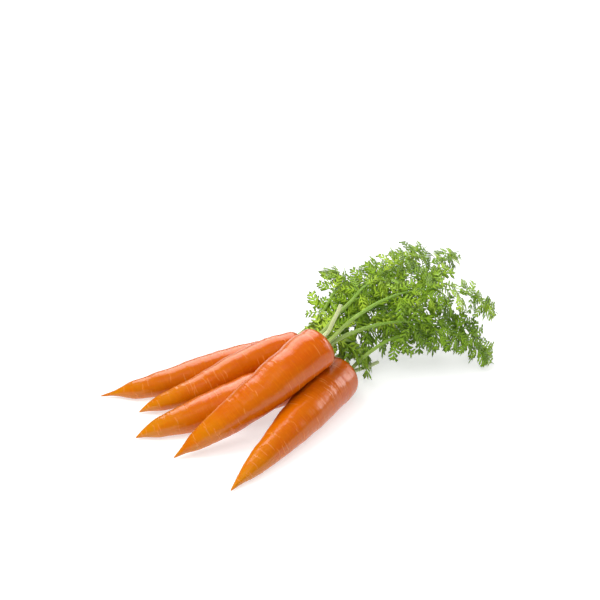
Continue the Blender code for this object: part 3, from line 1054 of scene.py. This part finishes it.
frondShape = {
    "seed": 300,
    "pinnaGap": 21.0 * mm,
    "pinnaReach": 16.5 * mm,
    "footAngle": 68.0,  # degrees from the stalk
    "tipAngle": 42.0,
    "forward": 0.22,  # how much a pinna curves towards the leaf's tip
    "droop": 0.42,
    "leafletGap": 16.0 * mm,
    "leafletSize": 26.0 * mm,
    "leafletAngle": 50.0,
    "ribRadius": 0.50 * mm,
    "waviness": 1.8 * mm,
    "earlyStart": 0.16,  # leaves begin this share of the stalk before the CAD blade does
    "firstStart": 0.14,  # and never before this share of it
    "halfWidth": 15.0 * mm,  # the CAD blade's half width for which pinnaReach is meant
    "pinnaSteps": 9,
    "narrowing": 0.42,  # how much closer the pinnae stand at the tip
    "tiltJitter": 0.20,
    "curlJitter": 0.12,
    "levelJitter": 0.36,  # how far leaflets turn out of the pinna's plane
    "toneJitter": 0.16,
}
# painted light and shade from 0 dark to 1 bright (fronds where shade falls darker, those in the
# light brighter), how wide, how hanging, and roll about the stalk in degrees
frondLook = {
    "leaf_01": (0.42, 1.9, 1.5, 20),
    "leaf_02": (0.34, 1.2, 2.4, 30),
    "leaf_03": (0.32, 1.2, 2.4, 45),
    "leaf_04": (0.32, 1.2, 2.4, 35),
    "leaf_05": (0.36, 0.8, 0.9, 50),
    "leaf_06": (0.38, 0.8, 0.4, 60),
    "leaf_07": (0.38, 0.8, 0.9, 30),
    "leaf_08": (0.52, 0.9, 0.8, 50),
    "leaf_09": (0.50, 0.75, 1.1, 40),
    "leaf_10": (0.48, 0.6, 0.9, 45),
    "leaf_11": (0.48, 0.6, 0.6, 30),
    "leaf_12": (0.58, 0.38, 1.1, 35),
    "leaf_13": (0.54, 0.42, 0.6, 50),
    "leaf_14": (0.58, 0.62, 0.7, 45),
    "leaf_15": (0.62, 0.58, 0.8, 35),
    "leaf_16": (0.74, 0.6, 0.8, 30),
    "leaf_17": (0.82, 0.6, 0.8, 20),
}


def pinnaProfile(x):  # share of the longest pinna, from the frond's foot to its tip
    return (1 - x) ** 0.65 * (0.72 + 0.28 * smoothStep(x, 0, 0.22)) + 0.10


def makeFrond(leaf, seed):
    shape = frondShape
    # the first value paints light and shade onto the whole frond
    tone, wide, hang, roll = frondLook[leaf]
    random = np.random.default_rng(seed)
    path = stalks[leaf + "_stalk"]
    arc = arcOf(path)
    blade, _ = weldedNode(leaf + "_blade")
    gap = np.linalg.norm(blade[:, None] - path[None], axis=2)
    begin = arc[gap.argmin(axis=1).min()] / arc[-1]
    halfWidth = np.percentile(gap.min(axis=1), 97)
    begin = max(shape["firstStart"], begin - shape["earlyStart"])
    reach = shape["pinnaReach"] * wide * halfWidth / shape["halfWidth"]
    tangent, across, up = framesAlong(path)
    c, w = math.cos(math.radians(roll)), math.sin(math.radians(roll))
    across, up = across * c - up * w, up * c + across * w
    ribs, ribEdges, ribThick = [], [], []
    spots, ways, lifts, sizes, paintedLightAndTones = [], [], [], [], []
    down = np.array([0, 0, -1.0])

    def addLeaflet(place, way, lift, size, bright):
        spots.append(place)
        ways.append(unit(way))
        lifts.append(lift)
        sizes.append(size)
        jitter = random.normal(0, shape["toneJitter"])
        paintedLightAndTones.append(np.clip(tone + bright + jitter, 0, 1))

    def addPinna(at, side, length, angle):
        here = readAt(at, arc, path)
        t, a, u = (unit(readAt(at, arc, v)) for v in (tangent, across, up))
        tilt = random.normal(0, shape["tiltJitter"])
        curl = random.normal(0, shape["curlJitter"])
        steps = shape["pinnaSteps"]
        place, line = here, [here]
        for q in np.linspace(0, 1, steps):
            forward = math.cos(angle) + (shape["forward"] + curl) * q
            out = math.sin(angle) * (1 - 0.30 * q)
            way = t * forward + a * side * out + u * (0.22 + tilt) * (1 - q)
            way = unit(way + down * shape["droop"] * hang * q**1.3)
            place = place + way * length / steps
            line.append(place)
        line = keepAbove(np.array(line), lowest=0.8 * mm)
        base = len(ribs)
        ribs.extend(line)
        ribEdges.extend((base + n, base + n + 1) for n in range(steps))
        slim = min(1.0, length / (14 * mm)) * shape["ribRadius"]
        ribThick.extend(slim * np.linspace(1.0, 0.45, steps + 1))
        lineArc = arcOf(line)
        pairs = max(1, int(round(length * 0.72 / shape["leafletGap"])))
        dirs = unit(np.gradient(line, axis=0))
        small = (0.62 + 0.38 * min(1.0, length / (18 * mm))) * shape["leafletSize"]
        for n in range(pairs):
            x = 0.30 + 0.58 * n / max(1, pairs - 1) if pairs > 1 else 0.45
            for flank in (-1, 1):
                where = (x + random.normal(0, 0.02)) * lineArc[-1]
                spot, way = readAt(where, lineArc, line), unit(readAt(where, lineArc, dirs))
                level = unit(u + shape["levelJitter"] * random.normal(size=3))
                sideways = unit(np.cross(level, way)) * flank
                turn = math.radians(shape["leafletAngle"] + random.normal(0, 8))
                aim = way * math.cos(turn) + sideways * math.sin(turn)
                aim = aim + down * 0.22 * hang + level * random.normal(0, 0.14)
                size = small * (1.0 - 0.38 * x) * random.uniform(0.82, 1.12)
                addLeaflet(spot, aim, level, size, 0.05 * x)
        end = unit(dirs[-1] + 0.15 * random.normal(size=3))
        addLeaflet(line[-2], end, unit(u + 0.2 * random.normal(size=3)), small * 0.95, 0.08)

    at = begin * arc[-1]
    side = 1
    last = arc[-1] - 0.75 * shape["leafletSize"]
    while at < last:
        x = (at - begin * arc[-1]) / (last - begin * arc[-1])
        angle = math.radians(shape["footAngle"] + (shape["tipAngle"] - shape["footAngle"]) * x)
        length = reach * float(pinnaProfile(x)) * random.uniform(0.82, 1.12)
        pinnaStep = shape["pinnaGap"] * (1.0 - shape["narrowing"] * x)
        addPinna(at, side, length, angle + random.normal(0, 0.10))
        addPinna(at + random.uniform(0, 1.5) * mm, -side, length * random.uniform(0.85, 1.1), angle)
        spot = at + 0.5 * pinnaStep  # a small leaflet on the stalk itself
        here, t, a, u = (readAt(spot, arc, v) for v in (path, tangent, across, up))
        way = t + a * random.uniform(-0.9, 0.9) + u * 0.35
        addLeaflet(here + u * 1.0 * mm, way, unit(u), 0.48 * shape["leafletSize"], 0.05)
        side = -side
        at += pinnaStep * random.uniform(0.88, 1.12)
    for n in range(3):
        way = tangent[-1] + across[-1] * 0.55 * (n - 1) + 0.1 * random.normal(size=3)
        foot = readAt(last + 1.0 * mm, arc, path)
        addLeaflet(foot, way, up[-1], shape["leafletSize"] * (0.85 - 0.2 * abs(n - 1)), 0.1)

    points = makeObject(leaf + "_frond", keepAbove(np.array(spots), lowest=1.0 * mm), [])
    for name, values in (("way", ways), ("lift", lifts), ("size", sizes), ("tone", paintedLightAndTones)):
        storeValues(points.data, name, values)
    looks = {"Leaflets": leaflets, "Material": leafMaterial}
    applyTree(points, scatterTree, {**looks, "Seed": seed, "Waviness": shape["waviness"]})
    twigs = makeObject(leaf + "_twigs", ribs, [], ribEdges)
    storeValues(twigs.data, "thick", ribThick)
    storeValues(twigs.data, "tone", np.full(len(ribs), min(1.0, tone + 0.22)))
    applyTree(twigs, sweepTree, {"Profile": plain, "Material": leafMaterial})
    faceOutwards(twigs)
    joined = joinMeshes(points, twigs)
    joined.data.shade_smooth()
    return joined


def joinMeshes(first, second):  # the second one goes into the first
    tree, given = newShapeTree("join", Other=("Object",))
    both = addNode(tree, "GeometryNodeJoinGeometry", (0, 0))
    for geometry in (meshOf(tree, (-200, -200), given["Other"]), given["Geometry"]):
        tree.links.new(geometry, both.inputs[0])
    addNode(tree, "NodeGroupOutput", (200, 0), {0: both.outputs[0]})
    applyTree(first, tree, {"Other": second})
    bpy.data.objects.remove(second)
    bpy.data.node_groups.remove(tree)
    return first


def settleOnFloor(obj):  # nothing reaches below the surface
    points, _ = readMesh(obj.data)
    obj.data.vertices.foreach_set("co", keepAbove(points).ravel())
    obj.data.update()


scatterTree = makeScatterTree()
for i, name in enumerate(nodeNames(end="_blade")):
    frond = makeFrond(name.removesuffix("_blade"), frondShape["seed"] + i)
    settleOnFloor(frond)
    handOver(frond, "leaf_green", name)
bpy.data.objects.remove(ribbed)
bpy.data.objects.remove(plain)
print("stage: fronds")
